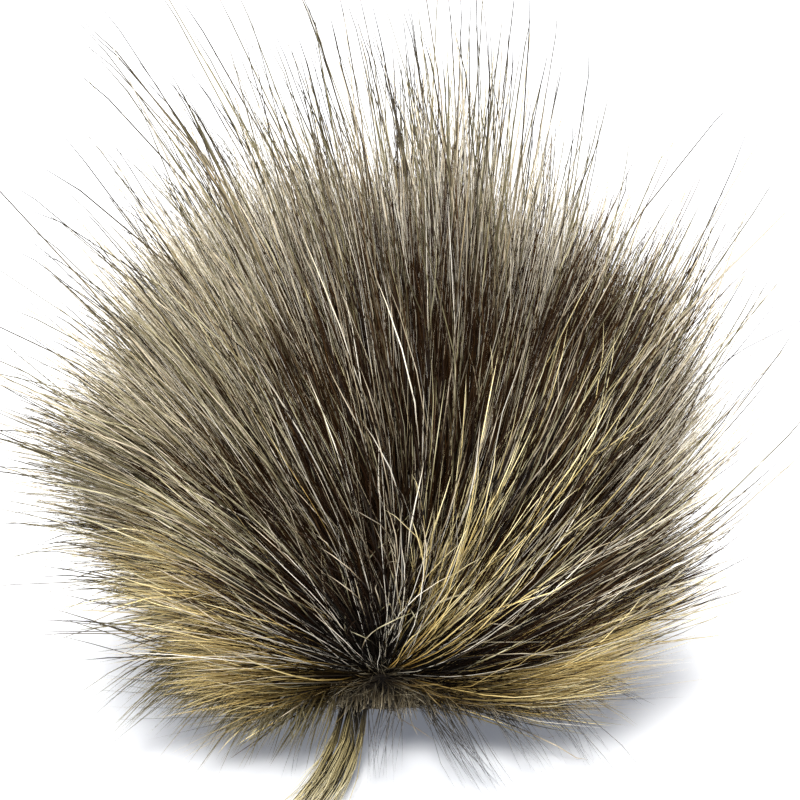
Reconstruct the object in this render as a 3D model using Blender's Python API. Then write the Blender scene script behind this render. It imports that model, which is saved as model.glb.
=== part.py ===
"""A long-haired fur pompom, lying on its side on a level surface.

A round of pelt is drawn up round its edge into a ball, and the gather faces the front, a little below
level. The hair grows out of the ball and is laid back from the gather on every side. It is modelled as
tapered three-sided locks, one from each facet of the ball, whose roots are fused into it: free locks
follow the lie of the fur, floor locks come down and rest level on the surface, pressed locks are the
short hair that the ball lies on, and crushed locks are the stubs between those and the floor locks.
"""

import math
import random

import bmesh
import bpy
from mathutils import Matrix, Vector

# The ball of gathered pelt, in metres and radians
PELT_RADIUS = 0.021
PELT_LIFT = 0.004  # pressed hair between the ball and the surface
PELT_SUBDIVISIONS = 3  # of an icosahedron, so 320 facets
BALL = Vector((0.0, 0.0, PELT_RADIUS + PELT_LIFT))
DOWN = Vector((0.0, 0.0, -1.0))
FRONT_HEADING = math.radians(-90)
GATHER_DIP = math.radians(28)  # below level, to the front
GATHER = Vector((0.0, -math.cos(GATHER_DIP), -math.sin(GATHER_DIP)))
GATHER_REACH = math.radians(34)  # facets this near the gather form its flat closure
GATHER_RIM = math.radians(19.5)  # the closure's rim, seen from the ball's centre
GATHER_FLAT = PELT_RADIUS * math.cos(GATHER_RIM)  # from the ball's centre to the closure
GATHER_DRAW = 0.6  # how far facets are drawn in towards the gather
GATHER_DRAW_SPREAD = math.radians(45)
ROOT_GAP = 0.0004  # from a facet's edge to the root of its lock

# The lie of the hair
LAY_BACK = 0.75  # 1 lays the hair by the gather flat on the pelt
SAG = 0.30  # how much the tips bow down under their own weight
HAIR_CROWN = 0.105  # longest hair, on top
HAIR_SIDE = 0.076
HAIR_UNDER = 0.056
LENGTH_VARIES = (0.74, 1.0)  # shortest and longest lock, as a share of the hair there
LEVEL_AT = 0.006  # free locks don't sink below this
LEVEL_OVER = 0.010  # and level out over this height
WALK = 0.0015  # step along a hair
TIP_DRIFT = 0.002

# Rings of a free lock: share of its length, and share of the room between its neighbours that it fills
FREE_RINGS = (
    {"along": 0.10, "fills": 0.90},
    {"along": 0.34, "fills": 0.90},
    {"along": 0.60, "fills": 0.85},
    {"along": 0.84, "fills": 0.62},
)

# Hair under the ball, by the angle of its root from straight down: pressed, then floor or crushed
PRESSED_WITHIN = math.radians(33)
PRESSED_END = 0.82  # its flat end, as a share of the facet
CRUSHED_LENGTH = 0.0015
FLOOR_WITHIN = math.radians(50)
FLOOR_APART = 0.0062  # least distance between two floor locks, seen from above
FLOOR_FRONT = math.radians(35)  # this far each side of the front, they run straight out from the ball
FLOOR_LENGTH = {"front": 0.026, "side": 0.046, "back": 0.056}
FLOOR_WIDTH = 0.0042
FLOOR_THICKNESS = 0.0026
FLOOR_RINGS = (
    {"along": 0.35, "size": 1.00},
    {"along": 0.58, "size": 0.80},
    {"along": 0.82, "size": 0.45},
)
FLOOR_CHECKS = 12  # points along a floor lock where its distance from the others is looked at

# The drawn-out tuft at the front left, a wide floor lock
TUFT_HEADING = math.radians(-108)
TUFT_LENGTH = 0.044
TUFT_WIDTH = 0.0068
TUFT_THICKNESS = 0.0042

FUR_COLOUR = (0.16, 0.125, 0.08, 1.0)
FUR_ROUGHNESS = 0.55


def clear_scene():
    for item in list(bpy.data.objects):
        bpy.data.objects.remove(item, do_unlink=True)


def middle_of(points):
    return sum(points, Vector()) / len(points)


def lie_of_hair(point):
    """The way the hair runs at a point outside the ball: outwards, laid back from the gather."""
    out = (point - BALL).normalized()
    back = (out * out.dot(GATHER) - GATHER).normalized()
    lean = LAY_BACK * (math.pi - out.angle(GATHER)) / 2
    way = out * math.cos(lean) + back * math.sin(lean)
    way.z -= SAG * ((point - BALL).length - PELT_RADIUS) / HAIR_CROWN
    if way.z < 0:
        way.z *= min(1.0, max(0.0, (point.z - LEVEL_AT) / LEVEL_OVER))
    return way.normalized()


def walk_hair(root, length, stations):
    """The points of a hair at each station, which is a share of its length."""
    points = []
    point = root.copy()
    walked = 0.0
    for station in stations:
        while walked < station * length:
            step = min(WALK, station * length - walked)
            point += lie_of_hair(point) * step
            walked += step
        points.append(point.copy())
    return points


def pelt_ball():
    """The drawn-up pelt: a faceted ball whose facets crowd towards its flat gather."""
    mesh = bmesh.new()
    turn = DOWN.rotation_difference(GATHER).to_matrix().to_4x4()
    bmesh.ops.create_icosphere(
        mesh, subdivisions=PELT_SUBDIVISIONS, radius=PELT_RADIUS, matrix=turn
    )
    for vertex in mesh.verts:
        out = vertex.co.normalized()
        angle = out.angle(GATHER)
        crowd = 1 - GATHER_DRAW * math.exp(-((angle / GATHER_DRAW_SPREAD) ** 2))
        if 1e-4 < angle < math.pi - 1e-4:
            axis = GATHER.cross(out).normalized()
            out = Matrix.Rotation(angle * crowd, 3, axis) @ GATHER
        vertex.co = out * PELT_RADIUS
        if angle < GATHER_REACH:
            vertex.co += GATHER * (GATHER_FLAT - vertex.co.dot(GATHER))
        vertex.co += BALL
    return mesh


def on_gather(facet):
    return all(abs((v.co - BALL).dot(GATHER) - GATHER_FLAT) < 1e-6 for v in facet.verts)


def angle_from_down(facet):
    return (facet.calc_center_median() - BALL).angle(DOWN)


def heading(facet):
    """The compass direction of a facet from above: 0 is +X and a quarter turn is +Y."""
    out = facet.calc_center_median() - BALL
    return math.atan2(out.y, out.x)


def turn_between(a, b):
    return abs((a - b + math.pi) % (2 * math.pi) - math.pi)


def in_front(facet):
    return turn_between(heading(facet), FRONT_HEADING) < FLOOR_FRONT


def floor_length(facet):
    out = (facet.calc_center_median() - BALL).normalized()
    if in_front(facet):
        return FLOOR_LENGTH["front"]
    return FLOOR_LENGTH["side"] + max(0.0, out.y) * (FLOOR_LENGTH["back"] - FLOOR_LENGTH["side"])


def floor_path(facet, turn, length, stations):
    """Where a lock from this facet lies: swept by the lie of the fur, or straight out in front."""
    root = facet.calc_center_median()
    points = walk_hair(root, length, stations)
    if in_front(facet):
        way = Vector((math.cos(turn), math.sin(turn), 0.0))
        points = [root + way * length * station for station in stations]
    return [Vector((point.x, point.y, 0.0)) for point in points]


def sort_facets(mesh):
    """The facets that grow each kind of lock. Floor locks are chosen so that they lie apart."""
    kinds = {"tuft": [], "pressed": [], "crushed": [], "floor": [], "free": []}
    facets = [facet for facet in mesh.faces if not on_gather(facet)]
    band = [f for f in facets if PRESSED_WITHIN < angle_from_down(f) <= FLOOR_WITHIN]
    tuft = min(band, key=lambda f: turn_between(heading(f), TUFT_HEADING))
    kinds["tuft"].append(tuft)
    facets.remove(tuft)
    checks = [(step + 1) / FLOOR_CHECKS for step in range(FLOOR_CHECKS)]
    taken = floor_path(tuft, TUFT_HEADING, TUFT_LENGTH, checks)
    for facet in sorted(facets, key=lambda f: f.calc_center_median().z, reverse=True):
        if angle_from_down(facet) > FLOOR_WITHIN:
            kinds["free"].append(facet)
        elif angle_from_down(facet) <= PRESSED_WITHIN:
            kinds["pressed"].append(facet)
        else:
            path = floor_path(facet, heading(facet), floor_length(facet), checks)
            clear = all((a - b).length > FLOOR_APART for a in path for b in taken)
            taken += path if clear else []
            kinds["floor" if clear else "crushed"].append(facet)
    return kinds


def extrude(mesh, facet, corners):
    """Extrudes the facet to these corners."""
    facet = bmesh.ops.extrude_discrete_faces(mesh, faces=[facet])["faces"][0]
    for vertex, corner in zip(facet.verts, corners):
        vertex.co = corner
    return facet


def close_to_point(mesh, facet, tip):
    made = bmesh.ops.poke(mesh, faces=[facet])
    made["verts"][0].co = tip


def grow_free_lock(mesh, facet, length, drift):
    stations = [row["along"] for row in FREE_RINGS] + [1.0]
    paths = [walk_hair(vertex.co, length, stations) for vertex in facet.verts]
    for index, row in enumerate(FREE_RINGS):
        ring = [path[index] for path in paths]
        middle = middle_of(ring)
        aside = drift * row["along"] ** 2
        facet = extrude(mesh, facet, [middle.lerp(p, row["fills"]) + aside for p in ring])
    close_to_point(mesh, facet, middle_of([path[-1] for path in paths]) + drift)


def grow_pressed_lock(mesh, facet):
    middle = facet.calc_center_median()
    ring = [middle.lerp(vertex.co, PRESSED_END) for vertex in facet.verts]
    extrude(mesh, facet, [Vector((point.x, point.y, 0.0)) for point in ring])


def grow_crushed_lock(mesh, facet):
    close_to_point(mesh, facet, facet.calc_center_median() + facet.normal * CRUSHED_LENGTH)


def level_ring(facet, middle, way, width, thickness):
    """The corners of a ring that lies level, in the order that twists the lock least."""
    across = Vector((-way.y, way.x, 0.0)).normalized() * width / 2
    ring = [middle - across, middle + across, middle + Vector((0.0, 0.0, thickness))]
    orders = [ring[n:] + ring[:n] for n in range(3)]
    corners = [vertex.co for vertex in facet.verts]

    def twist(order):
        spokes = [point - middle_of(ring) for point in order]
        return -sum(a.dot(b - middle_of(corners)) for a, b in zip(spokes, corners))

    return min(orders, key=twist)


def grow_floor_lock(mesh, facet, turn, length, width, thickness):
    """A lock that comes down from its facet and lies level, with its underside on the surface."""
    points = floor_path(facet, turn, length, [row["along"] for row in FLOOR_RINGS] + [1.0])
    behind = facet.calc_center_median()
    if not in_front(facet):
        row = FREE_RINGS[0]
        ring = [walk_hair(v.co, length, [row["along"]])[0] for v in facet.verts]
        facet = extrude(mesh, facet, [middle_of(ring).lerp(p, row["fills"]) for p in ring])
    for row, point in zip(FLOOR_RINGS, points):
        size = row["size"]
        ring = level_ring(facet, point, point - behind, width * size, thickness * size)
        facet = extrude(mesh, facet, ring)
        behind = point
    close_to_point(mesh, facet, points[-1])


def fur_pompom():
    chance = random.Random(11)
    mesh = pelt_ball()
    kinds = sort_facets(mesh)
    roots = sum(kinds.values(), [])
    bmesh.ops.inset_individual(mesh, faces=roots, thickness=ROOT_GAP, use_even_offset=True)
    for facet in kinds["tuft"]:
        grow_floor_lock(mesh, facet, TUFT_HEADING, TUFT_LENGTH, TUFT_WIDTH, TUFT_THICKNESS)
    for facet in kinds["pressed"]:
        grow_pressed_lock(mesh, facet)
    for facet in kinds["crushed"]:
        grow_crushed_lock(mesh, facet)
    for facet in kinds["floor"]:
        length = floor_length(facet) * chance.uniform(*LENGTH_VARIES)
        grow_floor_lock(mesh, facet, heading(facet), length, FLOOR_WIDTH, FLOOR_THICKNESS)
    for facet in kinds["free"]:
        rise = (facet.calc_center_median() - BALL).normalized().z
        furthest = HAIR_CROWN if rise > 0 else HAIR_UNDER
        length = HAIR_SIDE + (furthest - HAIR_SIDE) * abs(rise)
        length *= chance.uniform(*LENGTH_VARIES)
        drift = Vector([chance.uniform(-1, 1) for _ in range(3)]) * TIP_DRIFT
        grow_free_lock(mesh, facet, length, drift)
    return mesh


def stand_on_origin(mesh):
    """Moves the mesh so that the middle of its box, at the surface, is the origin."""
    lows = [min(v.co[axis] for v in mesh.verts) for axis in range(3)]
    highs = [max(v.co[axis] for v in mesh.verts) for axis in range(3)]
    shift = Vector(((lows[0] + highs[0]) / 2, (lows[1] + highs[1]) / 2, 0.0))
    bmesh.ops.translate(mesh, verts=mesh.verts, vec=-shift)


def fur_material():
    material = bpy.data.materials.new("raccoon_fur")
    material.use_nodes = True
    shader = material.node_tree.nodes["Principled BSDF"]
    shader.inputs["Base Color"].default_value = FUR_COLOUR
    shader.inputs["Roughness"].default_value = FUR_ROUGHNESS
    shader.inputs["Metallic"].default_value = 0.0
    material.diffuse_color = FUR_COLOUR
    return material


def main():
    clear_scene()
    collection = bpy.data.collections.new("fur_pompom")
    bpy.context.scene.collection.children.link(collection)
    mesh = fur_pompom()
    stand_on_origin(mesh)
    data = bpy.data.meshes.new("fur_pompom")
    mesh.to_mesh(data)
    mesh.free()
    data.materials.append(fur_material())
    collection.objects.link(bpy.data.objects.new("fur_pompom", data))


main()
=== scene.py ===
import math

import bpy
import numpy as np
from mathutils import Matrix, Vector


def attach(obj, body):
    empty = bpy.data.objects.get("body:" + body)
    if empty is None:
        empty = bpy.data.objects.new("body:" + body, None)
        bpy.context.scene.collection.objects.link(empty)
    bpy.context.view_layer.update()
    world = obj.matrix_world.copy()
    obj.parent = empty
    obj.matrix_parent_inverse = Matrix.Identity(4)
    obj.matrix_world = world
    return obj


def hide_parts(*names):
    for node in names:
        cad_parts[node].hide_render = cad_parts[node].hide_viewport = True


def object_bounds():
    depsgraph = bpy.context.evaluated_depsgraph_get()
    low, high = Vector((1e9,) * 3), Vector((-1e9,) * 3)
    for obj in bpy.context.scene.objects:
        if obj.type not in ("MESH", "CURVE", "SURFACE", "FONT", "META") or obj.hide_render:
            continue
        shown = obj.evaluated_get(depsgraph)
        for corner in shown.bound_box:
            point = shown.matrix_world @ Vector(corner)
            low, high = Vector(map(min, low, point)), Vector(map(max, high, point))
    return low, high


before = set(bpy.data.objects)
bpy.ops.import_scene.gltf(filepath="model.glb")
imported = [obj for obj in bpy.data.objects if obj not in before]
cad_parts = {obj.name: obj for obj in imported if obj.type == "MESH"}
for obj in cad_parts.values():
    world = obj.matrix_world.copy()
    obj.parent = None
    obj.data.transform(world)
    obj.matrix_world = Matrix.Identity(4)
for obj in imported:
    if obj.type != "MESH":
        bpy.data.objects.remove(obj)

cad_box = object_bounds()

# ------------------------------------------------------------------------------------------------
# The gathered pelt
# One round of long-haired pelt, skin inwards, drawn up round its edge into a tight ball over a
# little stuffing. Only its skin is built here. Its own hair hides it, but for dark gleams.

MM = 0.001
BALL = np.array([-1.786, -21.504, 25.0]) * MM
PELT_RADIUS = 21.0 * MM
GATHER_DIP = math.radians(28)  # the gather faces the front, this far below level
GATHER = np.array([0.0, -math.cos(GATHER_DIP), -math.sin(GATHER_DIP)])
GATHER_RIM = math.radians(19.5)  # the flat closure's rim, seen from the ball's centre
GATHER_FLAT = PELT_RADIUS * math.cos(GATHER_RIM)
PUCKERS = 26  # folds that run into the gather
PUCKER_DEPTH = 0.5 * MM
PUCKER_REACH = math.radians(38)
SKIN_COLOURS = ("#0d0a08", "#2a211b")
SKIN_GRAIN = 900.0  # a grain of about 1 mm


def unit(vectors):
    return vectors / np.linalg.norm(vectors, axis=-1, keepdims=True)


def linear(colour):
    """An sRGB hex colour as linear RGBA."""
    parts = [int(colour[n : n + 2], 16) / 255 for n in (1, 3, 5)]
    return [c / 12.92 if c <= 0.04045 else ((c + 0.055) / 1.055) ** 2.4 for c in parts] + [1.0]


def add_node(tree, kind, settings=None, links=None):
    """Adds a node. Settings are its properties or its sockets' values, and links feed its sockets."""
    node = tree.nodes.new(kind)
    for name, value in (settings or {}).items():
        if isinstance(name, int) or name in node.inputs:
            node.inputs[name].default_value = value
        else:
            setattr(node, name, value)
    for name, (source, output) in (links or {}).items():
        tree.links.new(source.outputs[output], node.inputs[name])
    return node


def new_material(name, roughness, specular):
    material = bpy.data.materials.new(name)
    material.use_nodes = True
    shader = material.node_tree.nodes["Principled BSDF"]
    shader.inputs["Roughness"].default_value = roughness
    shader.inputs["Specular IOR Level"].default_value = specular
    return material, material.node_tree, shader


def place(piece):
    """The piece goes with the part's one body and stands for the solid locks, which are hidden."""
    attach(piece, "root")
    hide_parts("fur_pompom")


def tanned_skin():
    """Tanned skin: matt and dark, with a fine grain."""
    material, tree, shader = new_material("tanned_skin", roughness=0.8, specular=0.25)
    spot = add_node(tree, "ShaderNodeTexCoord")
    grain = add_node(
        tree, "ShaderNodeTexNoise", {"Scale": SKIN_GRAIN, "Detail": 3.0}, {"Vector": (spot, "Object")}
    )
    ramp = add_node(tree, "ShaderNodeValToRGB", links={"Fac": (grain, "Fac")})
    for stop, colour in zip(ramp.color_ramp.elements, SKIN_COLOURS):
        stop.color = linear(colour)
    tree.links.new(ramp.outputs["Color"], shader.inputs["Base Color"])
    return material


def flat_at_gather(points):
    """Points from the ball's centre, pressed back where they stand ahead of the flat closure."""
    ahead = np.maximum(points @ GATHER - GATHER_FLAT, 0)
    return points - ahead[:, None] * GATHER


bpy.ops.mesh.primitive_uv_sphere_add(segments=104, ring_count=48, radius=1.0)
pelt = bpy.context.object
pelt.name = "gathered_pelt"
spots = np.empty(len(pelt.data.vertices) * 3)
pelt.data.vertices.foreach_get("co", spots)
spots = spots.reshape(-1, 3)
turn = np.arctan2(spots[:, 1], spots[:, 0])
angle = np.arccos(np.clip(spots[:, 2], -1, 1))
sideways = np.array([1.0, 0.0, 0.0])
upwards = np.cross(GATHER, sideways)
spread = np.cos(turn)[:, None] * sideways + np.sin(turn)[:, None] * upwards
out = np.cos(angle)[:, None] * GATHER + np.sin(angle)[:, None] * spread
pucker = np.cos(PUCKERS * turn) * np.exp(-((angle / PUCKER_REACH) ** 2)) * np.sin(angle)
radius = PELT_RADIUS - PUCKER_DEPTH * (1 - pucker)
skin = flat_at_gather(out * radius[:, None]) - PUCKER_DEPTH * GATHER
pelt.data.vertices.foreach_set("co", (skin + BALL).astype(np.float32).ravel())
pelt.data.shade_smooth()
pelt.data.materials.append(tanned_skin())
place(pelt)

# ------------------------------------------------------------------------------------------------
# Underfur
# The short, fine, dense wool of the pelt. It fills the pompom nearly to its rim, dark by the skin
# and tan or gold at its ends. Each strand is a narrow ribbon, since it is too fine to show round.

chance = np.random.default_rng(5)
LAY_BACK = 0.75  # 1 lays the hair by the gather flat on the pelt
LAY_BACK_LIMIT = 0.99999  # cosine: straight behind the ball, no hair is laid to one side
SAG = 0.30  # high hair bows down at its tip
HIGH_RAMP = 1.6  # how soon hair counts as high, going up the ball
LIFT = 0.20  # and low hair, pushed by the surface, curves up
SWIRL = 0.42  # seen from the front, the hair curls round to the left
DROOP = 1.7  # and down to the surface, low on the left
DROOP_RAMP = 1.4
DROOP_FULL = 1.8
CROSSING_FADE = 0.16  # how soon hair that crosses its neighbours by the gather falls in with them
HAIR_CROWN = 105.0 * MM
HAIR_SIDE = 76.0 * MM
HAIR_UNDER = 42.0 * MM
UNDER_POWER = 0.7
RIGHT_LONGER = 0.16
LOW_LEFT_SHORTER = 0.46
LOW_FROM = 0.3  # on the unit ball: hair counts as low below this height, and the more the lower
LOW_RAMP = 2.0
LOW_FULL = 1.4
LEVEL_AT = (6.5 * MM, 14.0 * MM)  # hair doesn't sink below this
LEVEL_OVER = 8.0 * MM
FACING = np.array([0.0, -1.6, 0.4])  # ribbons show more of their flat side to the front
GATHER_DRAW = 0.6
GATHER_DRAW_SPREAD = math.radians(45)
STEPS = 48  # along a hair
WAVES = (0.5, 1.8)  # in a hair's length
ALONG = np.linspace(0, 1, STEPS + 1)
SHADES = 32  # of one kind of hair
PRESSED = math.radians(30)  # no long hair grows this near the point that the ball lies on
BARE_BELOW = -0.3  # hair thins out where its place round the gather is this far below level
BARE_OVER = 0.35
BARE_WITHIN = math.radians(75)
BARE_RAMP = 3.0
BARE_SHARE = 0.97
NEAREST_PARTS = 40  # hairs are matched to their leaders in parts, which takes less memory
PULL_POWER = 1.4  # how late along a hair each bend sets in
SWAY_POWER = 1.6
DRIFT_POWER = 1.5
ABOVE_FLOOR = 0.3 * MM
MAP_MARGIN = 0.002  # at both ends of a hair's strip on its map
STRIP = (0.1, 0.9)  # its lower and upper edge, in its shade's row
GOLDEN_STEP = 0.618  # spreads the bands' slip evenly over the shades


def lie_of_hair(points, lay_back, crossing, level_at):
    """The way the hair runs at points outside the ball: outwards, laid back from the gather."""
    offset = points - BALL
    reach = np.linalg.norm(offset, axis=1)
    out = offset / reach[:, None]
    towards = np.clip(out @ GATHER, -LAY_BACK_LIMIT, LAY_BACK_LIMIT)
    back = unit(out * towards[:, None] - GATHER)
    lean = lay_back * (math.pi - np.arccos(towards)) / 2
    way = out * np.cos(lean)[:, None] + back * np.sin(lean)[:, None]
    high = np.clip(out[:, 2] * HIGH_RAMP, 0, 1)
    rise = np.maximum(reach - PELT_RADIUS, 0) / HAIR_CROWN
    way += np.cross(GATHER, back) * (crossing * np.exp(-rise / CROSSING_FADE))[:, None]
    way[:, 2] += (LIFT * (1 - high) - SAG * high) * rise
    low_left = np.maximum(-out[:, 0], 0) * np.clip(1 - DROOP_RAMP * out[:, 2], 0, DROOP_FULL)
    curl = (SWIRL + DROOP * low_left) * rise
    way[:, 0], way[:, 2] = way[:, 0] - curl * way[:, 2], way[:, 2] + curl * way[:, 0]
    level = np.clip((points[:, 2] - level_at) / LEVEL_OVER, 0, 1)
    way[:, 2] = np.where(way[:, 2] < 0, way[:, 2] * level, way[:, 2])
    return unit(way)


def roots_on_pelt(count, nearest):
    """Roots all over the ball, crowded towards the gather as the drawn-up pelt crowds there.

    They are few below the gather, where the hair is worn and pressed, and none where the ball lies.
    """
    found = np.empty((0, 3))
    while len(found) < count:
        out = unit(chance.normal(size=(count, 3)))
        angle = np.arccos(np.clip(out @ GATHER, -1, 1))
        drawn = angle * (1 - GATHER_DRAW * np.exp(-((angle / GATHER_DRAW_SPREAD) ** 2)))
        side = unit(out - (out @ GATHER)[:, None] * GATHER)
        out = np.cos(drawn)[:, None] * GATHER + np.sin(drawn)[:, None] * side
        low = np.clip((BARE_BELOW - side @ upwards) / BARE_OVER, 0, 1)
        low *= np.clip((BARE_WITHIN - drawn) / BARE_WITHIN * BARE_RAMP, 0, 1)
        keep = (drawn > nearest) & (out[:, 2] > -math.cos(PRESSED))
        keep &= chance.random(count) > BARE_SHARE * low
        found = np.vstack([found, out[keep]])
    return found[:count]


def full_length(out):
    """The longest hair that grows at a place on the ball."""
    up = out[:, 2]
    crown = HAIR_SIDE + (HAIR_CROWN - HAIR_SIDE) * up
    length = np.where(up > 0, crown, HAIR_SIDE + (HAIR_UNDER - HAIR_SIDE) * np.abs(up) ** UNDER_POWER)
    low_left = np.maximum(-out[:, 0], 0) * np.clip((LOW_FROM - up) * LOW_RAMP, 0, LOW_FULL)
    length = length * (1 - LOW_LEFT_SHORTER * low_left)
    return length * (1 + RIGHT_LONGER * np.maximum(out[:, 0], 0))


def grow(out, lengths, lay_back, crossing):
    """Every point of every hair: (hairs, STEPS + 1, 3). Crossing is how far off line they start."""
    path = [flat_at_gather(out * PELT_RADIUS) + BALL]
    crossing = crossing * chance.uniform(-1, 1, len(out))
    level_at = chance.uniform(*LEVEL_AT, len(out))
    for _ in range(STEPS):
        way = lie_of_hair(path[-1], lay_back, crossing, level_at)
        path.append(path[-1] + way * (lengths / STEPS)[:, None])
    return np.stack(path, axis=1)


def gather_wisps(paths, out, wisps, pull, sway):
    """Hairs bend towards the leader of their wisp, by pull at their tips, and each wisp sways.

    Sway is a share of a hair's length.
    """
    leaders = chance.choice(len(paths), wisps, replace=False)
    parts = np.array_split(out, NEAREST_PARTS)
    nearest = np.concatenate([np.argmax(part @ out[leaders].T, axis=1) for part in parts])
    follow = (pull[:, None] * ALONG**PULL_POWER)[:, :, None]
    sway = (sway * np.linalg.norm(paths[:, -1] - paths[:, 0], axis=1))[:, None, None]
    swayed = chance.normal(size=(wisps, 1, 3))[nearest] * sway * (ALONG**SWAY_POWER)[None, :, None]
    return paths + (paths[leaders[nearest]] - paths) * follow + swayed


def stray(paths, drift, wave):
    """Each hair drifts its own way, further towards its tip, and waves. None goes into the floor.

    Drift and wave are shares of a hair's length.
    """
    hairs = len(paths)
    length = np.linalg.norm(paths[:, -1] - paths[:, 0], axis=1)
    aside = chance.normal(size=(hairs, 1, 3)) * (drift * length)[:, None, None]
    start = chance.uniform(0, 2 * math.pi, (hairs, 1))
    turns = chance.uniform(*WAVES, (hairs, 1)) * 2 * math.pi * ALONG
    bend = (np.sin(start + turns) - np.sin(start)) * (wave * length)[:, None]
    paths = paths + aside * (ALONG**DRIFT_POWER)[None, :, None]
    paths = paths + chance.normal(size=(hairs, 1, 3)) * bend[:, :, None]
    paths[:, :, 2] = np.maximum(paths[:, :, 2], ABOVE_FLOOR)
    return paths


def pick_kinds(paths, base, patches):
    """Which hairs are of each kind, drawn by the weights of the patches that they run through.

    A patch is a row: kind, weight, reach in mm, the shares of the hair looked at, middle in mm.
    """
    kinds = list(base)
    weights = np.tile(np.array(list(base.values()), float), (len(paths), 1))
    for kind, weight, reach, shares, middle in patches:
        spots = paths[:, int(STEPS * shares[0]) : int(STEPS * shares[1]) + 1]
        distance = np.linalg.norm(spots - np.array(middle) * MM, axis=2).min(axis=1)
        weights[:, kinds.index(kind)] += weight * np.exp(-((distance / (reach * MM)) ** 2))
    draw = chance.random(len(paths)) * weights.sum(axis=1)
    picked = (draw[:, None] > np.cumsum(weights, axis=1)).sum(axis=1)
    return {kind: picked == number for number, kind in enumerate(kinds)}


def set_attribute(mesh, name, values):
    mesh.attributes.new(name, "FLOAT", "POINT").data.foreach_set("value", values.astype(np.float32))


def hair_piece(name, paths, rings, thick, corners, shades, material):
    """One joined mesh of tapered hairs: tubes of three corners, or ribbons of two.

    Rings are rows of a step along the hair and its share of the full thickness; the last is the tip.
    """
    steps = [step for step, _ in rings]
    path = paths[:, steps, :]
    hairs = len(path)
    along = ALONG[steps]
    way = unit(np.gradient(path, axis=1))
    u = unit(np.cross(way, chance.normal(size=(hairs, 1, 3)) + FACING))
    v = np.cross(way, u)
    turns = np.arange(corners) * 2 * math.pi / corners
    spoke = u[:, :, None] * np.cos(turns)[:, None] + v[:, :, None] * np.sin(turns)[:, None]
    radius = thick[:, None] / 2 * np.array([share for _, share in rings])
    ringed = (path[:, :, None] + radius[:, :, None, None] * spoke)[:, :-1]
    points = np.concatenate([ringed.reshape(hairs, -1, 3), path[:, -1:]], axis=1)
    faces = []
    sides = [(c, (c + 1) % corners) for c in range(corners if corners > 2 else 1)]
    for ring in range(len(rings) - 2):
        low = ring * corners
        faces += [(low + a, low + b, low + corners + b, low + corners + a) for a, b in sides]
    last = (len(rings) - 2) * corners
    faces += [(last + a, last + b, last + corners) for a, b in sides]
    corners_of_faces = np.array([corner for face in faces for corner in face])
    first = np.arange(hairs)[:, None] * points.shape[1]
    sizes = np.tile([len(face) for face in faces], hairs)
    mesh = bpy.data.meshes.new(name)
    mesh.vertices.add(points.shape[0] * points.shape[1])
    mesh.vertices.foreach_set("co", points.astype(np.float32).ravel())
    mesh.loops.add(hairs * len(corners_of_faces))
    mesh.loops.foreach_set("vertex_index", (first + corners_of_faces).astype(np.int32).ravel())
    mesh.polygons.add(len(sizes))
    mesh.polygons.foreach_set("loop_start", (np.cumsum(sizes) - sizes).astype(np.int32))
    mesh.update(calc_edges=True)
    mesh.shade_smooth()
    along_points = np.append(np.repeat(along[:-1], corners), 1.0)
    set_attribute(mesh, "along", np.tile(along_points, hairs))
    set_attribute(mesh, "shade", np.repeat((shades + 0.5) / SHADES, points.shape[1]))
    # on its map a hair is a strip: root to tip goes to the right, and each shade has its own row
    strip = np.empty((hairs, len(corners_of_faces), 2))
    strip[:, :, 0] = MAP_MARGIN + (1 - 2 * MAP_MARGIN) * along_points[corners_of_faces]
    low, high = STRIP
    across = [(low, high, high, low) if len(face) == 4 else (low, high, 0.5) for face in faces]
    strip[:, :, 1] = (shades[:, None] + np.array([v for row in across for v in row])) / SHADES
    mesh.uv_layers.new(name="OFBake").data.foreach_set("uv", strip.astype(np.float32).ravel())
    mesh.materials.append(material)
    piece = bpy.data.objects.new(name, mesh)
    bpy.context.scene.collection.objects.link(piece)
    place(piece)


def hair_material(name, bands, roughness, specular, lightness, slip):
    """Hair is keratin, smooth and a little glossy, with bands of colour from its root to its tip.

    Lightness is that of the darkest and the lightest shade; slip is how far up the bands may sit.
    """
    material, tree, shader = new_material(name, roughness, specular)
    along = add_node(tree, "ShaderNodeAttribute", {"attribute_name": "along"})
    shade = add_node(tree, "ShaderNodeAttribute", {"attribute_name": "shade"})
    mixed = add_node(
        tree, "ShaderNodeMath", {"operation": "MULTIPLY", 1: SHADES * GOLDEN_STEP}, {0: (shade, "Fac")}
    )
    mixed = add_node(tree, "ShaderNodeMath", {"operation": "FRACT"}, {0: (mixed, "Value")})
    slid = add_node(
        tree,
        "ShaderNodeMath",
        {"operation": "MULTIPLY_ADD", 1: slip},
        {0: (mixed, "Value"), 2: (along, "Fac")},
    )
    ramp = add_node(tree, "ShaderNodeValToRGB", links={"Fac": (slid, "Value")})
    stops = ramp.color_ramp.elements
    while len(stops) < len(bands):
        stops.new(1.0)
    for stop, (at, colour) in zip(stops, bands):
        stop.position = at
        stop.color = linear(colour)
    light = add_node(
        tree,
        "ShaderNodeMapRange",
        {"To Min": lightness[0], "To Max": lightness[1]},
        {"Value": (shade, "Fac")},
    )
    toned = add_node(
        tree, "ShaderNodeHueSaturation", links={"Value": (light, "Result"), "Color": (ramp, "Color")}
    )
    tree.links.new(toned.outputs["Color"], shader.inputs["Base Color"])
    return material


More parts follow.
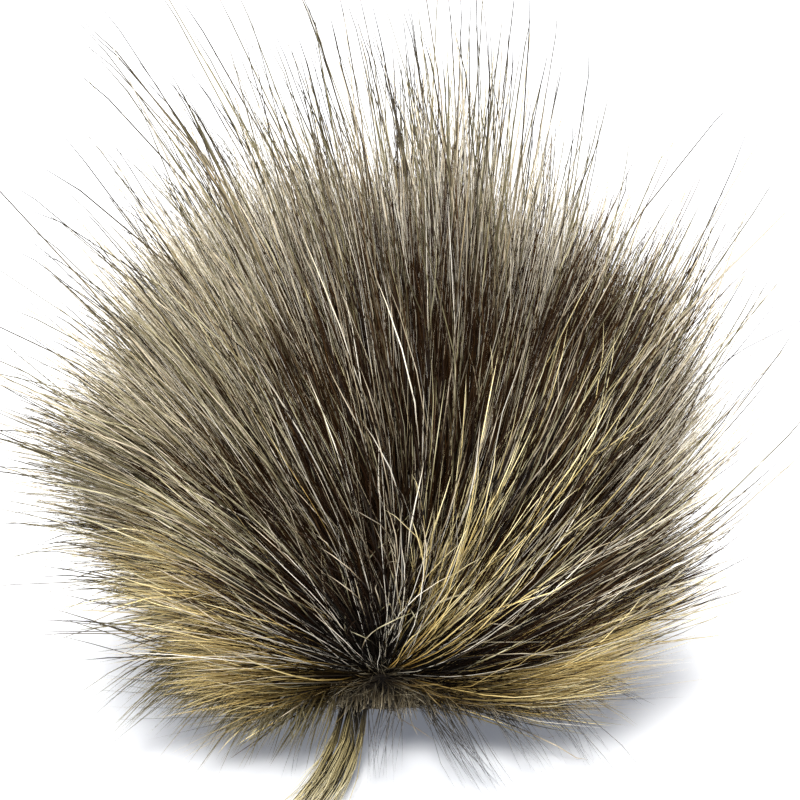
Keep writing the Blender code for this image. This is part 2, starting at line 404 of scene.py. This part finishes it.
WOOL_COUNT = 66000
WOOL_WISPS = 1200
WOOL_LENGTH = (0.44, 0.77)  # as shares of the longest hair there
WOOL_THICK = (0.07 * MM, 0.14 * MM)
WOOL_RINGS = ((0, 0.9), (15, 1.0), (31, 0.9), (48, 0.0))
WOOL_BANDS = {
    "umber": ((0.0, "#030201"), (0.6, "#0a0401"), (0.9, "#241407"), (1.0, "#402b13")),
    "gold": ((0.0, "#070401"), (0.44, "#2e220c"), (0.68, "#9a8149"), (1.0, "#e2cc90")),
    "tan": ((0.0, "#060402"), (0.50, "#2b2318"), (0.74, "#a39577"), (1.0, "#eae0c6")),
    "pale": ((0.0, "#0b0805"), (0.46, "#5a503e"), (0.68, "#c3b89f"), (1.0, "#f6f1e5")),
}
WOOL_FINISH = {"roughness": 0.7, "specular": 0.04, "lightness": (0.55, 1.45), "slip": 0.12}
WOOL_LAY_BACK = (-0.04, 0.08)  # against the other hair: on average, and how much it varies
WOOL_KINDS = {"umber": 0.12, "gold": 0.06, "tan": 1.0, "pale": 0.45}
END = (0.7, 1.0)
MIDDLE = (0.35, 0.95)
WOOL_PATCHES = (
    ("umber", 14.0, 15, END, (-2, -50, 34)),
    ("umber", 12.0, 15, END, (-9, -50, 45)),
    ("umber", 20.0, 18, END, (-1, -44, 59)),
    ("umber", 34.0, 16, END, (8, -32, 80)),
    ("umber", 26.0, 16, END, (34, -30, 68)),
    # the dark underfur at the left is painted shade in the gaps between its clumps
    ("umber", 1.6, 20, END, (-38, -40, 50)),
    ("umber", 50.0, 9, END, (36, -40, 32)),
    ("umber", 26.0, 10, END, (-20, -46, 29)),
    ("umber", 30.0, 7, END, (18, -44, 25)),
    ("umber", 34.0, 12, END, (17, -46, 44)),
    ("umber", 8.0, 12, END, (30, -37, 60)),
    ("gold", 30.0, 4.5, END, (9.5, -50, 36)),
    ("gold", 24.0, 10, END, (-36, -44, 29)),
    ("gold", 30.0, 10, END, (-26, -43, 18)),
    ("gold", 30.0, 10, END, (40, -40, 21)),
    ("gold", 24.0, 8, END, (14, -42, 17)),
    # the pale underfur on the right is painted light: it makes the right side look brighter lit
    ("pale", 4.0, 20, END, (62, -30, 47)),
    # the pale underfur at the top is partly its own light tips and partly painted backlight shining
    # through them
    ("pale", 13.0, 18, END, (-4, -15, 104)),
    ("pale", 9.0, 15, END, (26, -16, 102)),
)


def hair_pieces(layer, kinds, paths, rings, thick, corners, make_material):
    """A piece for each kind of a layer's hair."""
    for kind, chosen in kinds.items():
        number = int(chosen.sum())
        if number:
            shades = chance.integers(0, SHADES, number)
            widths = chance.uniform(*thick, number)
            name = f"{kind}_{layer}"
            hair_piece(name, paths[chosen], rings, widths, corners, shades, make_material(kind))


def wool_material(kind):
    """Wool: the same keratin, too fine to gleam."""
    return hair_material(kind + "_wool", WOOL_BANDS[kind], **WOOL_FINISH)


out = roots_on_pelt(WOOL_COUNT, nearest=math.radians(4))
lay_back = LAY_BACK + chance.normal(*WOOL_LAY_BACK, WOOL_COUNT)
wool = grow(out, full_length(out) * chance.uniform(*WOOL_LENGTH, WOOL_COUNT), lay_back, crossing=0.25)
wool = gather_wisps(wool, out, WOOL_WISPS, pull=chance.uniform(0.1, 0.7, WOOL_COUNT), sway=0.05)
wool = stray(wool, drift=chance.uniform(0.02, 0.14, WOOL_COUNT), wave=0.008)
kinds = pick_kinds(wool, WOOL_KINDS, WOOL_PATCHES)
hair_pieces("underfur", kinds, wool, WOOL_RINGS, WOOL_THICK, 2, wool_material)

# ------------------------------------------------------------------------------------------------
# Body guard hair
# Straighter and glossier hair that lies over the underfur. Its dark lower part is lost in it, and
# its light ends show one by one.

BODY_COUNT = 42000
BODY_TUFTS = 300
BODY_WISPS = 4200
BODY_LENGTH = (0.24, 0.78)
BODY_LEFT_SHORTER = 0.05
BODY_THICK = (0.13 * MM, 0.23 * MM)
BODY_RINGS = ((0, 0.7), (10, 0.9), (20, 1.0), (28, 1.0), (36, 0.95), (43, 0.75), (48, 0.0))
BODY_BANDS = {
    "umber": ((0.0, "#030201"), (0.7, "#0d0602"), (0.9, "#231508"), (1.0, "#3a2812")),
    "taupe": ((0.0, "#040201"), (0.64, "#120b06"), (0.77, "#7c6e56"), (0.90, "#c5b8a0"), (1.0, "#a3957b")),
    "khaki": ((0.0, "#040301"), (0.64, "#161208"), (0.77, "#7b7354"), (0.90, "#b9b191"), (1.0, "#98906f")),
    "cream": ((0.0, "#1b150e"), (0.20, "#6a5e4a"), (0.50, "#d0c5ad"), (0.85, "#efe8d7"), (1.0, "#d5c9b0")),
    "gold": ((0.0, "#080401"), (0.18, "#33260c"), (0.32, "#a07f3c"), (0.70, "#dfc681"), (1.0, "#f0e1b0")),
    "smoke": ((0.0, "#050402"), (0.45, "#2c2717"), (0.72, "#7f775a"), (0.88, "#575039"), (1.0, "#3a3524")),
}
BODY_FINISH = {"roughness": 0.4, "specular": 0.12, "lightness": (0.5, 1.5), "slip": 0.16}
BODY_KINDS = {"umber": 1.0, "taupe": 1.2, "khaki": 0.8, "cream": 0.12, "gold": 0.03, "smoke": 0.02}
BODY_PATCHES = (
    ("umber", 24.0, 17, END, (8, -31, 80)),
    ("umber", 11.0, 16, END, (35, -30, 68)),
    ("umber", 30.0, 9, (0.5, 1.0), (36, -39, 32)),
    ("umber", 10.0, 7, MIDDLE, (18, -43, 25)),
    ("umber", 14.0, 10, END, (-20, -46, 29)),
    ("umber", 4.5, 16, END, (-5, -47, 48)),
    ("umber", 7.0, 15, END, (0, -42, 61)),
    ("khaki", 3.0, 22, END, (-37, -40, 52)),
    ("cream", 0.35, 18, MIDDLE, (-6, -49, 36)),
    # the cream hair on the right is painted light: it makes the right side look brighter lit
    ("cream", 4.0, 20, END, (62, -34, 47)),
    ("gold", 90.0, 3.6, MIDDLE, (9.5, -50, 35)),
    ("gold", 1.5, 4.0, MIDDLE, (21, -45, 45)),
    ("gold", 3.0, 6, (0.6, 1.0), (33, -36, 58)),
    ("gold", 3.0, 5, (0.6, 1.0), (34, -40, 40)),
    ("gold", 6.0, 9, END, (-36, -43, 30)),
    ("gold", 8.0, 10, END, (-26, -43, 17)),
    ("gold", 20.0, 9, END, (40, -40, 21)),
    ("gold", 6.0, 6, MIDDLE, (14, -40, 17)),
    ("smoke", 9.0, 20, (0.85, 1.0), (-66, -30, 42)),
    ("smoke", 24.0, 13, (0.85, 1.0), (-47, -42, 14)),
    ("smoke", 4.0, 26, (0.85, 1.0), (-54, -15, 88)),
)
PAST_SOLIDS = np.array([12.0, 9.0, 12.0]) * MM  # how far hair may stand out past the solid locks' box
BODY_STANDS = 0.10  # it stands up more than the wool does,
BY_GATHER = math.radians(38)
LAID_BY_GATHER = 0.18  # but not near the gather
BODY_VARIES = 0.12
BODY_WILD = {"share": 0.06, "drift": 0.22, "others": 0.08}


def within_box(paths, over):
    """Draws a hair in towards its root where it would stand out too far past the solid locks."""
    low, high = (np.array(corner) for corner in cad_box)
    root = paths[:, :1]
    reach = paths - root
    room_high = (high + over - root) / np.maximum(reach.max(axis=1, keepdims=True), 1e-6)
    room_low = (low - over - root) / np.minimum(reach.min(axis=1, keepdims=True), -1e-6)
    room = np.minimum(room_high, room_low).min(axis=2, keepdims=True)
    return root + reach * np.minimum(room, 1.0)


def body_material(kind):
    """Body hair: keratin glossy enough that each light end shows by itself."""
    return hair_material(kind + "_body_keratin", BODY_BANDS[kind], **BODY_FINISH)


out = roots_on_pelt(BODY_COUNT, nearest=math.radians(6))
by_gather = np.exp(-((np.arccos(out @ GATHER) / BY_GATHER) ** 2))
lay_back = LAY_BACK - BODY_STANDS + LAID_BY_GATHER * by_gather
lay_back = lay_back + chance.normal(0, BODY_VARIES, BODY_COUNT)
lengths = full_length(out) * chance.uniform(*BODY_LENGTH, BODY_COUNT)
lengths *= 1 - BODY_LEFT_SHORTER * np.maximum(-out[:, 0], 0)
body = grow(out, lengths, lay_back, crossing=0.3)
body = gather_wisps(body, out, BODY_TUFTS, pull=chance.uniform(0.0, 0.5, BODY_COUNT), sway=0.10)
body = gather_wisps(body, out, BODY_WISPS, pull=chance.uniform(0.0, 0.7, BODY_COUNT), sway=0.045)
wild = chance.random(BODY_COUNT) < BODY_WILD["share"]
drift = np.where(wild, BODY_WILD["drift"], BODY_WILD["others"])
body = stray(body, drift=drift * chance.uniform(0.3, 1.0, BODY_COUNT), wave=0.010)
body = within_box(body, PAST_SOLIDS)
kinds = pick_kinds(body, BODY_KINDS, BODY_PATCHES)
hair_pieces("body_hair", kinds, body, BODY_RINGS, BODY_THICK, 2, body_material)

# ------------------------------------------------------------------------------------------------
# Long guard hair
# The few longest hairs, straight and stiff. They stand out past the rim, dark to the tip on the
# left and on top, and pale on the right, where the paleness is painted light of the brighter right side.

LONG_COUNT = 2600
LONG_TOP = 0.45  # on the unit ball: from here up they all stand
LONG_RIGHT = (0.5, 0.3)  # and half of those that are right of the first and below the second
LONG_RIGHT_SHARE = 0.5
LONG_SIDE_SHARE = 0.12
LONG_SIDES_SHORTER = 0.4  # at the upper left and right, from this far off the middle
LONG_SIDES = 0.3
LONG_WISPS = 260
LONG_LENGTH = (0.72, 1.14)
LONG_THICK = (0.20 * MM, 0.36 * MM)
LONG_RINGS = ((0, 0.7), (8, 0.9), (19, 1.0), (31, 1.0), (42, 0.75), (48, 0.0))
LONG_BANDS = {
    "dark": ((0.0, "#0a0603"), (0.44, "#2a2116"), (0.62, "#94866a"), (0.80, "#4a4232"), (1.0, "#1b1710")),
    "pale": ((0.0, "#15100a"), (0.40, "#5c503d"), (0.7, "#b7ab92"), (1.0, "#e4dccb")),
    "olive": ((0.0, "#0a0704"), (0.45, "#3a3422"), (0.75, "#7c7558"), (1.0, "#3a3521")),
}
LONG_FINISH = {"roughness": 0.45, "specular": 0.12, "lightness": (0.6, 1.4), "slip": 0.12}
LONG_WILD = {"share": 0.18, "drift": 0.22, "others": 0.09}
LONG_KINDS = {"dark": 1.0, "pale": 0.3, "olive": 0.6}
LONG_PATCHES = (
    # the pale long hair on the right is painted light: it makes the right side look brighter lit
    ("pale", 4.0, 36, (0.8, 0.9), (72, -15, 50)),
    ("olive", 1.5, 34, (0.8, 0.9), (50, -20, 85)),
    ("dark", 1.5, 34, (0.8, 0.9), (-65, -15, 50)),
)


def long_material(kind):
    """Guard hair: thicker keratin, a little duller, dark or pale right to the tip."""
    return hair_material(kind + "_long_keratin", LONG_BANDS[kind], **LONG_FINISH)


out = roots_on_pelt(LONG_COUNT, nearest=math.radians(14))
right = (out[:, 0] > LONG_RIGHT[0]) & (out[:, 2] < LONG_RIGHT[1])
share = np.where(out[:, 2] > LONG_TOP, 1.0, np.where(right, LONG_RIGHT_SHARE, LONG_SIDE_SHARE))
out = out[chance.random(LONG_COUNT) < share]
hairs = len(out)
lay_back = LAY_BACK + chance.normal(0, 0.08, hairs)
beside = np.clip(np.abs(out[:, 0]) - LONG_SIDES, 0, 1) * np.clip(2 * out[:, 2], 0, 1)
lengths = full_length(out) * chance.uniform(*LONG_LENGTH, hairs) * (1 - LONG_SIDES_SHORTER * beside)
longest = grow(out, lengths, lay_back, crossing=0.2)
longest = gather_wisps(longest, out, LONG_WISPS, pull=chance.uniform(0.0, 0.95, hairs), sway=0.07)
wild = chance.random(hairs) < LONG_WILD["share"]
drift = np.where(wild, LONG_WILD["drift"], LONG_WILD["others"])
longest = stray(longest, drift=drift * chance.uniform(0.3, 1.0, hairs), wave=0.005)
longest = within_box(longest, PAST_SOLIDS)
kinds = pick_kinds(longest, LONG_KINDS, LONG_PATCHES)
hair_pieces("long_hair", kinds, longest, LONG_RINGS, LONG_THICK, 3, long_material)

# ------------------------------------------------------------------------------------------------
# Cream hair at the gather
# Single long hairs, light from the root up, that fan out from the gather over the dark fur.

FAN_COUNT = 150
FAN_NEAR = (math.radians(6), math.radians(30))  # from the gather
FAN_SPREAD = (math.radians(-66), math.radians(48))  # to the left and right of straight up
FAN_LAY_BACK = (0.55, 0.78)
FAN_LENGTH = (0.24, 0.66)
FAN_THICK = (0.11 * MM, 0.19 * MM)
FAN_BANDS = ((0.0, "#8b806c"), (0.25, "#cfc5af"), (0.75, "#efe8d9"), (1.0, "#cbbfa6"))
FAN_FINISH = {"roughness": 0.4, "specular": 0.3, "lightness": (0.6, 1.3), "slip": 0.2}


def fan_material(kind):
    """Undyed light keratin, glossier than the body hair."""
    return hair_material(kind + "_fan_keratin", FAN_BANDS, **FAN_FINISH)


near = chance.uniform(*FAN_NEAR, FAN_COUNT)
round_to = chance.uniform(*FAN_SPREAD, FAN_COUNT)
side = np.cos(round_to)[:, None] * upwards + np.sin(round_to)[:, None] * sideways
out = np.cos(near)[:, None] * GATHER + np.sin(near)[:, None] * side
lengths = HAIR_SIDE * chance.uniform(*FAN_LENGTH, FAN_COUNT)
fan = grow(out, lengths, chance.uniform(*FAN_LAY_BACK, FAN_COUNT), crossing=0.16)
fan = stray(fan, drift=chance.uniform(0.02, 0.12, FAN_COUNT), wave=0.006)
everything = {"cream": np.ones(FAN_COUNT, bool)}
hair_pieces("fan", everything, fan, BODY_RINGS, FAN_THICK, 3, fan_material)

# ------------------------------------------------------------------------------------------------
# Hair on the surface
# Below the gather the wool is worn short, and brown hair hangs beside it in a fringe. A few grey
# hairs come down there to the surface and splay out on it, and more of them at the back.

WORN_LAYERS = (  # within: degrees from the gather; round: each way from straight down; lengths in mm
    {"place": "worn", "kind": "wool", "count": 3000, "within": 62, "round": (-98, 98)},
    {"place": "closure", "kind": "wool", "count": 500, "within": 13, "round": (-180, 180)},
    {"place": "right_low", "kind": "brown", "count": 1900, "within": 56, "round": (44, 112)},
    {"place": "left_low", "kind": "brown", "count": 800, "within": 50, "round": (-112, -60)},
)
WORN_LENGTH = {"worn": (3, 9), "closure": (3, 9), "right_low": (5, 19), "left_low": (5, 12)}
WORN_LAY_BACK = (0.5, 0.85)
WORN_THICK = (0.09 * MM, 0.15 * MM)
SURFACE_RINGS = ((0, 0.8), (12, 1.0), (24, 1.0), (36, 0.8), (48, 0.0))
SURFACE_BANDS = {
    "wool": ((0.0, "#14100a"), (0.4, "#3f3628"), (0.8, "#746a53"), (1.0, "#9f957e")),
    "hair": ((0.0, "#0c0b0a"), (0.4, "#2b2823"), (0.7, "#57524a"), (1.0, "#8f8a80")),
    "brown": ((0.0, "#0e0904"), (0.35, "#3b2c17"), (0.75, "#7d6840"), (1.0, "#a8915f")),
}
SURFACE_FINISH = {"roughness": 0.5, "specular": 0.2, "lightness": (0.6, 1.5), "slip": 0.2}
SURFACE_REST = 0.9 * MM  # about how high it lies, and between which shares of that
SURFACE_RISE = (0.4, 3.0)
BACK_COUNT = 520
BACK_HEADING = (10, 170)  # in degrees
BACK_TILT = (18, 52)  # from straight down
BACK_LENGTH = (20, 46)  # in mm
BACK_DROP = 9.0  # how steeply they come down
BACK_TURNED = 0.16  # radians
SURFACE_THICK = (0.08 * MM, 0.17 * MM)
FRINGE = (  # from left to right: where a hair turns down, and its tip, in mm
    ((-44, -34, 20), (-56, -43, 12)),
    ((-36, -38, 16.5), (-47, -48, 6)),
    ((-29, -42, 14.5), (-38, -52.5, 4)),
    ((-22, -43, 13), (-29, -53, 3)),
    ((-14.5, -42, 13), (-17.5, -51, 4)),
    ((0, -41, 11.5), (0.5, -57, 0.8)),
    ((11, -41, 11), (15, -60, 0.8)),
    ((22.5, -39, 10), (32, -57, 0.8)),
    ((34, -36, 9), (47, -46.5, 2)),
    ((45, -30, 9.5), (58.5, -33, 6.5)),
)
FRINGE_BANDS = {
    "brown": ((0.0, "#0a0703"), (0.45, "#4a3d20"), (0.75, "#4f472f"), (1.0, "#6f6850")),
    "wool": ((0.0, "#14100a"), (0.4, "#453c2d"), (0.8, "#766c56"), (1.0, "#a59b86")),
    # the grey hairs' bluish tips are partly their own grey and partly painted shade of the floor they hang
    # over
    "grey": ((0.0, "#0c0b0a"), (0.4, "#2b2823"), (0.7, "#4c4945"), (1.0, "#8a8b90")),
}
FRINGE_FINISH = {"roughness": 0.5, "specular": 0.15, "lightness": (0.6, 1.5), "slip": 0.2}
FRINGE_LAYERS = (  # places along the fringe, and reach as a share of its full reach
    {"kind": "brown", "count": 560, "corners": 2, "along": (0.0, 0.47), "reach": (-0.2, 1.0)},
    {"kind": "wool", "count": 1400, "corners": 2, "along": (0.44, 0.95), "reach": (-0.4, 0.25)},
    {"kind": "grey", "count": 170, "corners": 3, "along": (0.42, 1.0), "reach": (0.1, 1.2)},
)
FRINGE_THICK = {
    "brown": (0.12 * MM, 0.26 * MM),
    "wool": (0.09 * MM, 0.16 * MM),
    "grey": (0.08 * MM, 0.18 * MM),
}
FRINGE_WISPS = {"brown": 60, "wool": 90, "grey": 13}
FRINGE_PULL = {"brown": (0.1, 0.8), "wool": (0.1, 0.8), "grey": (0.4, 0.95)}
FRINGE_JITTER = 1.6 * MM


def hanging(count, places, reach):
    """Hairs that leave the ball low at the front, turn down and end on the surface or over it."""
    rows = np.array(FRINGE, float) * MM
    place = chance.uniform(*places, count) * (len(rows) - 1)
    turn, tip = (
        np.stack([np.interp(place, np.arange(len(rows)), rows[:, n, axis]) for axis in range(3)], axis=1)
        for n in range(2)
    )
    turn = turn + chance.normal(0, FRINGE_JITTER, (count, 3))
    tip = turn + (tip - turn) * chance.uniform(*reach, count)[:, None]
    out = unit(turn - BALL)
    along = ALONG[None, :, None]
    paths = (BALL + out * PELT_RADIUS)[:, None] * (1 - along) ** 2
    return paths + turn[:, None] * 2 * along * (1 - along) + tip[:, None] * along**2, out


def splayed(count, heading, tilt, length, drop):
    """Hairs that leave the underside of the ball, come down in a curve and lie on the surface."""
    heading = np.radians(chance.uniform(*heading, count))
    tilt = np.radians(chance.uniform(*tilt, count))
    length = chance.uniform(*length, count) * MM
    outward = np.stack([np.cos(heading), np.sin(heading), np.zeros(count)], axis=1)
    down = np.array([0.0, 0.0, -1.0])
    out = np.sin(tilt)[:, None] * outward + np.cos(tilt)[:, None] * down
    roots = BALL + flat_at_gather(out * PELT_RADIUS)
    turned = heading + chance.normal(0, BACK_TURNED, count)
    way = np.stack([np.cos(turned), np.sin(turned), np.zeros(count)], axis=1)
    rest = SURFACE_REST * chance.uniform(*SURFACE_RISE, count)
    paths = roots[:, None] + way[:, None] * (length[:, None] * ALONG)[:, :, None]
    paths[:, :, 2] = rest[:, None] + (roots[:, 2] - rest)[:, None] * np.exp(-drop * ALONG)
    return paths


def surface_material(kind):
    """Worn or splayed hair: keratin dulled by rubbing."""
    return hair_material(kind + "_surface_keratin", SURFACE_BANDS[kind], **SURFACE_FINISH)


def fringe_material(kind):
    """The same dulled keratin, greyer at the tips; the grey hairs' bluish tips are partly their own grey
    and partly painted shade of the floor.
    """
    return hair_material(kind + "_fringe_keratin", FRINGE_BANDS[kind], **FRINGE_FINISH)


for row in WORN_LAYERS:
    count = row["count"]
    near = math.radians(row["within"]) * np.sqrt(chance.random(count))
    round_to = np.radians(chance.uniform(*row["round"], count))
    side = np.sin(round_to)[:, None] * sideways - np.cos(round_to)[:, None] * upwards
    out = np.cos(near)[:, None] * GATHER + np.sin(near)[:, None] * side
    lengths = chance.uniform(*WORN_LENGTH[row["place"]], count) * MM
    worn = grow(out, lengths, chance.uniform(*WORN_LAY_BACK, count), crossing=0.5)
    worn = stray(worn, drift=chance.uniform(0.04, 0.22, count), wave=0.01)
    everything = {row["kind"]: np.ones(count, bool)}
    hair_pieces(row["place"], everything, worn, WOOL_RINGS, WORN_THICK, 2, surface_material)
splay = splayed(BACK_COUNT, BACK_HEADING, BACK_TILT, BACK_LENGTH, BACK_DROP)
splay = stray(splay, drift=chance.uniform(0.03, 0.16, BACK_COUNT), wave=0.005)
everything = {"hair": np.ones(BACK_COUNT, bool)}
hair_pieces("back_surface", everything, splay, SURFACE_RINGS, SURFACE_THICK, 3, surface_material)
for row in FRINGE_LAYERS:
    kind = row["kind"]
    count = row["count"]
    hung, out = hanging(count, row["along"], row["reach"])
    pull = chance.uniform(*FRINGE_PULL[kind], count)
    hung = gather_wisps(hung, out, FRINGE_WISPS[kind], pull, sway=0.06)
    hung = stray(hung, drift=chance.uniform(0.01, 0.07, count), wave=0.004)
    everything = {kind: np.ones(count, bool)}
    thick = FRINGE_THICK[kind]
    hair_pieces("fringe", everything, hung, SURFACE_RINGS, thick, row["corners"], fringe_material)

# ------------------------------------------------------------------------------------------------
# The drawn-out tuft
# A lock that has worked loose beside the gather and lies on the surface to the front left. It is
# dark and bunched at its root, and parts into blond wisps.

TUFT_COUNT = 240
TUFT_WISPS = 5
TUFT_ROOT = np.array([-6.0, -36.5, 13.0]) * MM
TUFT_HEADING = math.radians(-108)
TUFT_LENGTH = 47.0 * MM
TUFT_WIDTH = 1.7 * MM
TUFT_HEIGHT = 1.5 * MM
TUFT_BEND = 1.3 * MM
TUFT_THICK = (0.12 * MM, 0.22 * MM)
TUFT_RINGS = ((0, 0.8), (10, 1.0), (22, 1.0), (35, 0.8), (48, 0.0))
TUFT_BLOND = 0.85  # the share of its hairs that are blond
TUFT_BANDS = {
    "blond": ((0.0, "#0c0a08"), (0.18, "#2f281d"), (0.34, "#a39569"), (0.7, "#e0d5ad"), (1.0, "#f6eed4")),
    "dark": ((0.0, "#080605"), (0.5, "#221c13"), (1.0, "#4a4130")),
}
TUFT_FINISH = {"roughness": 0.45, "specular": 0.3, "lightness": (0.6, 1.4), "slip": 0.15}
TUFT_APART = 1.3  # how far apart its wisps lie, in its widths
TUFT_WISP = 0.13  # and how wide each is
TUFT_LAYERS = (0.5, 0.4)  # how much wisps, and hairs in a wisp, differ in height
TUFT_ENDS = (0.75, 1.05)  # where wisps end, as shares of the tuft's length
TUFT_HAIRS = (0.55, 1.0)  # and hairs, as shares of their wisp's
TUFT_BUNCH = (0.8, 1.3)  # its width at the root, and how much it gains
TUFT_SWING = (1.2, 0.15)  # half turns along it, and from wisp to wisp
TUFT_DROP = 7.0  # how steeply it comes down to the surface
TUFT_LIE = 1.2  # on the surface, in its heights: its middle, how much its wisps vary, and its fall
TUFT_LIE_VARIES = 0.6
TUFT_LIE_FALLS = 0.55
TUFT_ROOT_VARIES = 0.6
TUFT_LOOSE = {"share": 0.25, "drift": 0.07, "others": 0.016}


def tuft_material(kind):
    """Blond keratin, gleaming a little where the wisps lie smooth."""
    return hair_material(kind + "_tuft_keratin", TUFT_BANDS[kind], **TUFT_FINISH)


way = np.array([math.cos(TUFT_HEADING), math.sin(TUFT_HEADING), 0.0])
across = np.array([-way[1], way[0], 0.0])
wisp = chance.integers(0, TUFT_WISPS, TUFT_COUNT)
places = np.linspace(-TUFT_APART, TUFT_APART, TUFT_WISPS)
aside = places[wisp] + chance.normal(0, TUFT_WISP, TUFT_COUNT)
over = chance.normal(size=TUFT_WISPS)[wisp] * TUFT_LAYERS[0] + chance.normal(0, TUFT_LAYERS[1], TUFT_COUNT)
ends = chance.uniform(*TUFT_ENDS, TUFT_WISPS)[wisp]
reach = (ends * chance.uniform(*TUFT_HAIRS, TUFT_COUNT))[:, None] * ALONG
bunch = TUFT_WIDTH * (TUFT_BUNCH[0] + TUFT_BUNCH[1] * reach)
swing = TUFT_BEND * np.sin(math.pi * (TUFT_SWING[0] * reach + TUFT_SWING[1] * wisp[:, None]))
tuft = TUFT_ROOT + way * (TUFT_LENGTH * reach)[:, :, None]
tuft = tuft + across * (aside[:, None] * bunch + swing * reach)[:, :, None]
lie = TUFT_HEIGHT * (TUFT_LIE + TUFT_LIE_VARIES * np.tanh(over))[:, None] * (1 - TUFT_LIE_FALLS * ALONG)
root_height = (TUFT_ROOT[2] + TUFT_HEIGHT * TUFT_ROOT_VARIES * over)[:, None]
tuft[:, :, 2] = lie + (root_height - lie) * np.exp(-TUFT_DROP * reach)
loose = chance.random(TUFT_COUNT) < TUFT_LOOSE["share"]
tuft = stray(tuft, drift=np.where(loose, TUFT_LOOSE["drift"], TUFT_LOOSE["others"]), wave=0.006)
picked = chance.random(TUFT_COUNT) < TUFT_BLOND
hair_pieces("tuft", {"blond": picked, "dark": ~picked}, tuft, TUFT_RINGS, TUFT_THICK, 3, tuft_material)

# ------------------------------------------------------------------------------------------------
# The floor, the light and the camera

FLOOR_SIDE = 12.0
FLOOR_GLOW = 0.2
SKY_STRENGTH = 0.42
bpy.ops.mesh.primitive_plane_add(size=FLOOR_SIDE)
floor = bpy.context.object
floor.name = "floor"
opal, tree, shader = new_material("opal_acrylic_light_table", roughness=0.9, specular=0.1)
shader.inputs["Base Color"].default_value = linear("#e2e4e8")
shader.inputs["Emission Color"].default_value = linear("#dfe6f6")
shader.inputs["Emission Strength"].default_value = FLOOR_GLOW
floor.data.materials.append(opal)

world = bpy.data.worlds.new("studio")
bpy.context.scene.world = world
world.use_nodes = True
world.node_tree.nodes["Background"].inputs["Color"].default_value = linear("#eef2ff")
world.node_tree.nodes["Background"].inputs["Strength"].default_value = SKY_STRENGTH


def add_sun(name, heading, elevation, strength, spread, colour):
    """A soft light. Heading 0 shines from the camera's side, and 90 from the right."""
    data = bpy.data.lights.new(name, "SUN")
    data.energy = strength
    data.angle = math.radians(spread)
    data.color = linear(colour)[:3]
    light = bpy.data.objects.new(name, data)
    light.rotation_euler = (math.radians(90 - elevation), 0, math.radians(heading))
    bpy.context.scene.collection.objects.link(light)


add_sun("overhead_softbox", heading=183, elevation=78, strength=3.0, spread=40, colour="#fffaf0")
add_sun("front_softbox", heading=-8, elevation=55, strength=3.9, spread=24, colour="#fffdf8")

VIEW_DOWN = math.radians(18)
LENS = 135.0
SENSOR = 36.0
PIXEL = 0.19 * MM
PHOTO_SIDE = 800
UNDER_BALL_PIXEL = (382, 719)
away = PIXEL * PHOTO_SIDE * LENS / SENSOR
back = np.array([0.0, -math.cos(VIEW_DOWN), math.sin(VIEW_DOWN)])
up = np.array([0.0, math.sin(VIEW_DOWN), math.cos(VIEW_DOWN)])
right = np.array([1.0, 0.0, 0.0])
aim = np.array([BALL[0], BALL[1], 0.0])
aim += right * (PHOTO_SIDE / 2 - UNDER_BALL_PIXEL[0]) * PIXEL
aim += up * (UNDER_BALL_PIXEL[1] - PHOTO_SIDE / 2) * PIXEL
view = bpy.data.cameras.new("camera")
view.lens = LENS
view.sensor_width = SENSOR
view.clip_end = 50.0
camera = bpy.data.objects.new("camera", view)
camera.location = aim + back * away
camera.rotation_euler = (math.pi / 2 - VIEW_DOWN, 0, 0)
bpy.context.scene.collection.objects.link(camera)
bpy.context.scene.camera = camera
bpy.context.scene.view_settings.view_transform = "Standard"
bpy.context.scene.cycles.denoising_prefilter = "NONE"  # the others smear hair about a pixel wide
